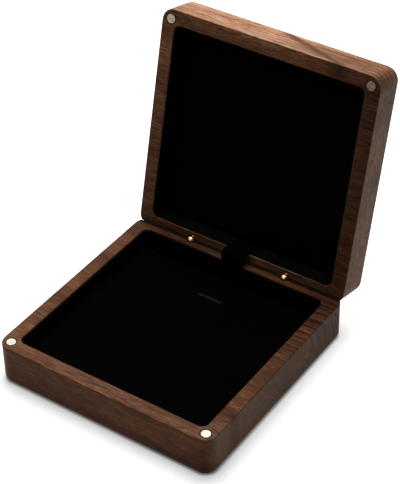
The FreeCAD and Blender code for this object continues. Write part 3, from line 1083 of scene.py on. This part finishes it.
@dataclass
class StayRibbon:
    """The ribbon between tray and lid: up the tray's back wall, round in a loose bow and into the lid.

    Attributes:
        stand: Where the lid stands.
        width: The ribbon's width.
        thickness: Its thickness.
        bend: Radius of its bow.
        cut_length: Its length when laid flat; not used.
        base_tail: How far its lower end lies below the hinge axis.
        lid_tail: How far its upper end lies from the hinge axis, into the lid.
        wall_run: How far in front of the hinge axis it runs along the tray's back wall.
        node: The solid that it stands for.
    """

    ALONG = "along"
    SPACING = 0.35 * MM
    BEND_STEPS = 10
    EDGE_STEPS = 3
    EDGE_SHARE = 0.45

    stand: LidStand
    width: float = 10.0 * MM
    thickness: float = 0.3 * MM
    bend: float = 2.2 * MM
    cut_length: float = 32.32 * MM
    base_tail: float = 12.0 * MM
    lid_tail: float = 10.5 * MM
    wall_run: float = 4.5 * MM
    node: str = "stay_ribbon"

    def mirrored(self, point: Vector) -> Vector:
        """Mirrors a point across the plane that halves the open angle.

        Args:
            point: The point, from the hinge axis.

        Returns:
            Its mirror image, from the hinge axis.
        """
        half = self.stand.open_angle / 2
        halving = Vector((0.0, -math.cos(half), math.sin(half)))
        return halving * (2 * point.dot(halving)) - point

    def route(self) -> list[Vector]:
        """Works out the ribbon's route.

        Returns:
            Its lower end, the corner that its bow rounds and its upper end.
        """
        base_end = Vector((0.0, -self.wall_run, -self.base_tail))
        corner = Vector((0.0, -self.wall_run, self.wall_run * math.tan(self.stand.open_angle / 2)))
        lid_end = self.mirrored(Vector((0.0, -self.wall_run, -self.lid_tail)))
        return [self.stand.axis + point for point in (base_end, corner, lid_end)]

    def sweep_tree(self, material: Material) -> bpy.types.NodeTree:
        """Makes the node tree that sweeps the ribbon's section along its route.

        Args:
            material: The ribbon's finish.

        Returns:
            The tree.
        """
        tree = bpy.data.node_groups.new("ribbon_sweep", "GeometryNodeTree")
        graph = Graph(tree)
        tree.interface.new_socket("Route", in_out="INPUT", socket_type="NodeSocketGeometry")
        for name in ("Width", "Thickness", "Bend", "Spacing"):
            tree.interface.new_socket(name, in_out="INPUT", socket_type="NodeSocketFloat")
        tree.interface.new_socket("Ribbon", in_out="OUTPUT", socket_type="NodeSocketGeometry")
        sizes = graph.add("NodeGroupInput").outputs

        def rounded(curve: Socket, radius: Socket, count: int) -> Socket:
            """Returns a curve with its corners rounded."""
            inputs = {"Curve": curve, "Radius": radius, "Count": count, "Limit Radius": True}
            return graph.add("GeometryNodeFilletCurve", inputs, mode="POLY").outputs[0]

        bow = rounded(sizes["Route"], sizes["Bend"], self.BEND_STEPS)
        evenly = {"Curve": bow, "Length": sizes["Spacing"]}
        spaced = graph.add("GeometryNodeResampleCurve", evenly, mode="LENGTH")
        facing = {"Curve": spaced.outputs[0], "Normal": (1.0, 0.0, 0.0)}
        upright = graph.add("GeometryNodeSetCurveNormal", facing, mode="FREE")
        length = graph.add("GeometryNodeSplineParameter").outputs["Length"]
        marked = graph.add(
            "GeometryNodeStoreNamedAttribute",
            {"Geometry": upright.outputs[0], "Name": self.ALONG, "Value": length},
            data_type="FLOAT",
            domain="POINT",
        )
        flat = {"Width": sizes["Width"], "Height": sizes["Thickness"]}
        section = graph.add("GeometryNodeCurvePrimitiveQuadrilateral", flat).outputs[0]
        soft_edge = graph.times(sizes["Thickness"], self.EDGE_SHARE)
        soft_section = rounded(section, soft_edge, self.EDGE_STEPS)
        swept = graph.add(
            "GeometryNodeCurveToMesh",
            {"Curve": marked.outputs[0], "Profile Curve": soft_section, "Fill Caps": True},
        )
        smooth = graph.add("GeometryNodeSetShadeSmooth", {"Geometry": swept.outputs[0]})
        finished = graph.add("GeometryNodeSetMaterial", {"Geometry": smooth.outputs[0], "Material": material})
        whole = graph.add("GeometryNodeRealizeInstances", {"Geometry": finished.outputs[0]})
        graph.add("NodeGroupOutput", {"Ribbon": whole.outputs[0]})
        return tree

    def sweep(self, material: Material) -> bpy.types.Mesh:
        """Sweeps the ribbon along its route.

        Args:
            material: Its finish.

        Returns:
            The ribbon's mesh.
        """
        points = self.route()
        line = bpy.data.curves.new("ribbon_route", "CURVE")
        line.dimensions = "3D"
        spline = line.splines.new("POLY")
        spline.points.add(len(points) - 1)
        for point, place in zip(spline.points, points):
            point.co = (*place, 1.0)
        path = new_object("ribbon_route", line)
        tree = self.sweep_tree(material)
        modifier = path.modifiers.new("sweep", "NODES")
        modifier.node_group = tree
        sizes = {"Width": self.width, "Thickness": self.thickness, "Bend": self.bend, "Spacing": self.SPACING}
        for item in tree.interface.items_tree:
            if item.name in sizes:
                modifier[item.identifier] = sizes[item.name]
        evaluated = path.evaluated_get(bpy.context.evaluated_depsgraph_get())
        mesh = bpy.data.meshes.new_from_object(evaluated)
        bpy.data.objects.remove(path)
        return mesh

    def build(self, material: Material) -> None:
        """Builds the ribbon in its bow between tray and lid.

        Args:
            material: Its finish.
        """
        mesh = self.sweep(material)
        piece = new_object("ribbon", mesh)
        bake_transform(piece)
        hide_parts(self.node)
        log.info("ribbon: %d faces", len(mesh.polygons))


@dataclass
class JewelleryBox:
    """The whole box.

    Attributes:
        stand: Where the lid stands.
        bore_x: How far the magnets' bores lie from the middle, to both sides.
        bore_y: How far they lie from the middle, towards the front.
        hinge_y: How far the hinge axis lies behind the middle of a block.
        lid_hinge_z: How high it lies over the lid's outer face, when the lid lies rim up.
    """

    stand: LidStand
    bore_x: float = 45.8 * MM
    bore_y: float = 44.8 * MM
    hinge_y: float = 46.5 * MM
    lid_hinge_z: float = 16.6 * MM

    def base_walnut(self) -> Walnut:
        """Chooses the base's wood, with one dark band at the right of its front rim.

        Returns:
            The wood.
        """
        dark_band = DarkBand(
            across=(0.0, 1.0, 0.0),
            offset=-33.0 * MM,
            width=4.0 * MM,
            along=(25.0 * MM, 40.0 * MM),
            inward=(-50.0 * MM, -45.0 * MM),
            strength=0.20,
        )
        bores = ((-self.bore_x, -self.bore_y), (self.bore_x, -self.bore_y))
        return Walnut("walnut_base", dark_bands=(dark_band,), bores=bores, foot_shade_height=1.8 * MM)

    def lid_walnut(self) -> Walnut:
        """Chooses the lid's wood, cut rim up from the plank, with a slanted dark band in its figure
        and painted shade at its hinges.

        Returns:
            The wood.
        """
        slanted = DarkBand(
            across=(-0.41, 0.0, 0.912),
            offset=2.9 * MM,
            width=2.4 * MM,
            along=(-10.0 * MM, -5.0 * MM),
            inward=(40.0 * MM, 47.0 * MM),
            strength=0.40,
        )
        # Painted shade on the lid's low rim, left of the hinges
        hinge_shade = DarkBand(
            across=(0.0, 1.0, 0.0),
            offset=-45.0 * MM,
            width=9.0 * MM,
            along=(0.0, -22.0 * MM),
            inward=(-34.0 * MM, -42.0 * MM),
            strength=0.26,
        )
        hinge = Matrix.Rotation(-self.stand.lean, 3, "X") @ self.stand.axis
        return Walnut(
            "walnut_lid",
            turn=-self.stand.lean,
            shift=(0.0, -hinge.y - self.hinge_y, -hinge.z + self.lid_hinge_z),
            pith=(0.020, -0.110),
            ring_strength=(0.08, 0.22),
            level=0.55,
            front=1.0,
            front_shading=0.34,
            lid_shade=0.0,
            dark_bands=(slanted, hinge_shade),
            bores=((-self.bore_x, self.bore_y), (self.bore_x, self.bore_y)),
            seam_shade_y=(-45.7 * MM, -46.1 * MM),
            seam_shade_z=(14.5 * MM, 15.7 * MM),
            dark_end=(0.0, 48.0 * MM),
            darkening=0.31,
            light=(0.257, 0.1000, 0.0446),
            pale=(0.640, 0.3180, 0.1860),
            warm=(0.99, 1.00, 0.95),
            cool=(0.88, 1.05, 1.18),
            # Painted light and sheen: the lid's end grain is tinted paler and greyer
            end_tint_and_sheen=(1.21, 1.43, 1.52),
            end_figure=0.8,
        )

    def dress_wood(self) -> None:
        """Gives both blocks their walnut, each cut from its own place in the plank."""
        dress(self.base_walnut(), "base_block")
        dress(self.lid_walnut(), "lid_block")

    def dress_linings(self) -> None:
        """Gives the velvet-covered card strips and the floor sheet their nap, paler than the pad's: painted
        light.
        """
        # Painted light: the linings' velvet is paler than the pad's, standing in for light on walls in shade
        velvet = Velvet("lining_velvet", deep=(0.0013, 0.0013, 0.0014), raised=(0.0042, 0.0042, 0.0045))
        dress(velvet, "base_wall_lining", "base_floor_lining", "lid_wall_lining")

    def dress_boards(self) -> None:
        """Gives the stiff boards under the padding their card."""
        card = Matte("black_card", (0.012, 0.012, 0.013), (0.022, 0.021, 0.021), grain=1800.0, dent=0.05 * MM)
        dress(card, "pad_board", "lid_panel_board")

    def dress_metal(self) -> None:
        """Gives the hinges their brass and the magnets their nickel."""
        turned = {"grain": 900.0, "dent": 0.01 * MM}
        plated = {"grain": 1300.0, "dent": 0.01 * MM, "gloss": (0.42, 0.55)}
        scuffed = {"grain": 1100.0, "dent": 0.03 * MM, "gloss": (0.25, 0.45)}
        brass = Metal("turned_brass", (0.86, 0.62, 0.30), (0.70, 0.47, 0.20), gloss=(0.16, 0.30), **turned)
        # The forks' brass is dark: painted shade of the bores round the knuckles
        fork_shade = Metal("shaded_fork_brass", (0.16, 0.105, 0.045), (0.07, 0.044, 0.018), gloss=(0.30, 0.45), **turned)
        nickel = Metal("nickel_plate", (0.36, 0.352, 0.305), (0.28, 0.276, 0.232), **plated)
        worn = Metal("worn_nickel", (0.405, 0.352, 0.273), (0.140, 0.114, 0.088), **scuffed)
        # A darker copy of the worn nickel for the right lid magnet: painted shade
        shaded_worn = Metal("shaded_worn_nickel", (0.176, 0.136, 0.108), (0.056, 0.040, 0.032), **scuffed)
        dress(brass, "left_hinge_pin", "left_hinge_tongue", "right_hinge_pin", "right_hinge_tongue")
        dress(fork_shade, "left_hinge_fork", "right_hinge_fork")
        dress(nickel, "base_magnet_left", "base_magnet_right")
        dress(worn, "lid_magnet_left")
        dress(shaded_worn, "lid_magnet_right")

    def add_padding(self) -> None:
        """Adds the pad and the lid's panel."""
        brushed = Velvet("pad_velvet", deep=(0.0005, 0.0005, 0.0006), raised=(0.0015, 0.0015, 0.0017))
        raised = Velvet("panel_velvet", deep=(0.0010, 0.0010, 0.0011), raised=(0.0031, 0.0031, 0.0033))
        foam = Matte("grey_foam", (0.022, 0.022, 0.023), (0.040, 0.040, 0.041), grain=2600.0, dent=0.2 * MM)
        core = foam.material()
        display = Slit(middle=(0.0, 25.45 * MM), length=11.0 * MM, width=1.3 * MM, shows_core=True)
        chains = [
            Slit(middle=(side * 20.0 * MM, 31.25 * MM), length=3.0 * MM, width=0.6 * MM)
            for side in (-1, 1)
        ]
        pad = PaddedInsert(
            name="pad",
            body=Body.PAD,
            cover="pad_cover",
            stood_for=("pad_cover", "pad_foam"),
            placement=Matrix(),
            slits=(display, *chains),
        )
        pad.build(brushed.material(), core)
        panel = PaddedInsert(
            name="lid_panel",
            body=Body.LID,
            cover="lid_panel_cover",
            stood_for=("lid_panel_cover", "lid_panel_foam"),
            placement=self.stand.placement(),
            edge_round=1.4 * MM,
            crown=0.4 * MM,
            board=2.0 * MM,
        )
        panel.build(raised.material(), core)

    def build(self) -> None:
        """Dresses the solids and adds the soft pieces."""
        self.dress_wood()
        self.dress_linings()
        self.dress_boards()
        self.dress_metal()
        self.add_padding()
        StayRibbon(self.stand).build(SatinRibbon("black_ribbon").material())


@dataclass(frozen=True)
class Camera:
    """The portrait's camera.

    Attributes:
        azimuth: Degrees round the box from its front, towards its right.
        elevation: Degrees above the horizon.
        roll: Degrees of turn about the line of sight.
        distance: Distance to the target.
        target: The point that it looks at.
        lens: Focal length in millimetres, for a long side of 36 mm.
        nearest: Distance from which on it sees.
    """

    azimuth: float = 34.814
    elevation: float = 38.390
    roll: float = -1.096
    distance: float = 0.662981
    target: Place = (-0.010046, 0.034033, 0.030661)
    lens: float = 121.337
    nearest: float = 0.01

    def build(self) -> None:
        """Sets the camera up."""
        azimuth, elevation, roll = (math.radians(a) for a in (self.azimuth, self.elevation, self.roll))
        back = Vector((
            math.sin(azimuth) * math.cos(elevation),
            -math.cos(azimuth) * math.cos(elevation),
            math.sin(elevation),
        ))
        level = Vector((0.0, 0.0, 1.0)).cross(back).normalized()
        upright = back.cross(level)
        right = math.cos(roll) * level + math.sin(roll) * upright
        up = back.cross(right)
        data = bpy.data.cameras.new("portrait")
        data.lens = self.lens
        data.clip_start = self.nearest
        camera = new_object("portrait", data)
        turn = Matrix((right, up, back)).transposed().to_4x4()
        camera.matrix_world = Matrix.Translation(Vector(self.target) + back * self.distance) @ turn
        bpy.context.scene.camera = camera


@dataclass(frozen=True)
class SoftBox:
    """A lamp with a wide, soft light.

    Attributes:
        name: Name of the lamp.
        place: Where it hangs.
        side: Its width and height.
        watts: Its power.
        aim: Where it points.
    """

    name: str
    place: Place
    side: float
    watts: float
    aim: Place = (0.0, 0.03, 0.05)

    def build(self) -> None:
        """Hangs the lamp."""
        data = bpy.data.lights.new(self.name, "AREA")
        data.shape = "RECTANGLE"
        data.size = self.side
        data.size_y = self.side
        data.energy = self.watts
        lamp = new_object(self.name, data)
        lamp.visible_camera = False
        lamp.location = self.place
        lamp.rotation_euler = (Vector(self.aim) - Vector(self.place)).to_track_quat("-Z", "Y").to_euler()


@dataclass(frozen=True)
class Studio:
    """Floor, surroundings and lamps.

    Attributes:
        floor_size: Side of the floor.
        floor_colour: Grey level of the floor.
        near_glow: What the floor adds to its own brightness, where it is seen, at the box's front foot.
        back_glow: What it adds at the box's back foot.
        far_glow: What it adds away from the box.
        glow_reach: Distance over which the one turns into the other; the lower glow near the foot is a
            painted shadow.
        foot: Half the box's width and depth on the floor.
        foot_round: Radius of the foot's corners.
        contact_shadow: Where, from inside to outside the foot's outline, the floor comes out of its painted
            shadow.
        fill: Brightness of the surroundings as light.
        lamps: The lamps over the box.
    """

    floor_size: float = 6.0
    floor_colour: float = 0.60
    near_glow: float = 0.31
    back_glow: float = 0.62
    far_glow: float = 1.0
    glow_reach: float = 13.2 * MM
    foot: Point = (50.0 * MM, 49.0 * MM)
    foot_round: float = 5.5 * MM
    contact_shadow: Span = (-1.3 * MM, 0.5 * MM)
    fill: float = 0.032
    lamps: tuple[SoftBox, ...] = (
        SoftBox("overhead_softbox", (-0.15, -0.10, 0.50), side=0.40, watts=0.5),
        SoftBox("back_softbox", (-0.15, 0.24, 0.52), side=0.50, watts=3.4),
    )

    @staticmethod
    def seen(graph: Graph) -> Socket:
        """Tells rays that show a picture from rays that only carry light.

        Args:
            graph: The nodes to build in.

        Returns:
            The socket of 1 for rays from the camera, from gloss and through glass, and 0 for the rest.
        """
        path = graph.add("ShaderNodeLightPath").outputs
        either = graph.math("MAXIMUM", path["Is Camera Ray"], path["Is Glossy Ray"])
        return graph.math("MAXIMUM", either, path["Is Transmission Ray"])

    def gap(self, graph: Graph, place: Socket) -> Socket:
        """Measures how far the floor lies outside the box's foot.

        Args:
            graph: The nodes to build in.
            place: Place on the floor.

        Returns:
            The distance's socket, below 0 under the box.
        """
        core = (self.foot[0] - self.foot_round, self.foot[1] - self.foot_round, 0.0)
        beside = graph.vector_math("SUBTRACT", graph.vector_math("ABSOLUTE", place), core)
        outside = graph.vector_math("MAXIMUM", beside, ORIGIN)
        sides = graph.split(beside)
        inside = graph.math("MINIMUM", graph.math("MAXIMUM", sides["X"], sides["Y"]), 0.0)
        from_core = graph.plus(graph.vector_math("LENGTH", outside, output="Value"), inside)
        return graph.minus(from_core, self.foot_round)

    def build_floor(self) -> None:
        """Lays a white floor that keeps the box's shadow, with a shadow painted round the box's foot."""
        half = self.floor_size / 2
        mesh = bpy.data.meshes.new("floor")
        corners = [(-half, -half, 0.0), (half, -half, 0.0), (half, half, 0.0), (-half, half, 0.0)]
        mesh.from_pydata(corners, [], [(0, 1, 2, 3)])
        material = bpy.data.materials.new("white_floor")
        material.use_nodes = True
        graph = Graph(material.node_tree)
        place = graph.add("ShaderNodeTexCoord").outputs["Object"]
        gap = self.gap(graph, place)
        # Painted shadow: the floor's colour and glow fade to dark at the foot, and the glow is lower near the
        # foot, most at the front
        out_of_contact_shadow = graph.remap(gap, self.contact_shadow)
        depth = graph.split(place)["Y"]
        near = graph.remap(depth, (-self.foot[1], self.foot[1]), (self.near_glow, self.back_glow))
        share = graph.math("SQRT", graph.remap(gap, (0.0, self.glow_reach)))
        glow = graph.times(graph.remap(share, WHOLE, (near, self.far_glow)), out_of_contact_shadow)
        surface = graph.add("ShaderNodeBsdfDiffuse", {"Color": graph.times(out_of_contact_shadow, self.floor_colour)})
        lit = graph.add("ShaderNodeEmission", {"Strength": graph.times(self.seen(graph), glow)})
        both = graph.add("ShaderNodeAddShader", {0: surface.outputs[0], 1: lit.outputs[0]})
        graph.add("ShaderNodeOutputMaterial", {"Surface": both.outputs[0]})
        mesh.materials.append(material)
        new_object("floor", mesh)

    def build_surroundings(self) -> None:
        """Makes the surroundings white where they are seen, and soft light where they are not."""
        world = bpy.data.worlds.new("studio")
        world.use_nodes = True
        graph = Graph(world.node_tree)
        strength = graph.remap(self.seen(graph), WHOLE, (self.fill, 1.0))
        light = graph.add("ShaderNodeBackground", {"Color": (1.0, 1.0, 1.0, 1.0), "Strength": strength})
        graph.add("ShaderNodeOutputWorld", {"Surface": light.outputs[0]})
        bpy.context.scene.world = world

    def build(self) -> None:
        """Sets the studio up."""
        bpy.context.scene.view_settings.view_transform = "Standard"
        self.build_floor()
        self.build_surroundings()
        for lamp in self.lamps:
            lamp.build()


def main() -> None:
    """Builds the box and the studio round it."""
    logging.basicConfig(level=logging.INFO, format="%(name)s %(message)s")
    JewelleryBox(LidStand.from_joint("lid_hinge")).build()
    Camera().build()
    Studio().build()


if __name__ == "__main__":
    main()
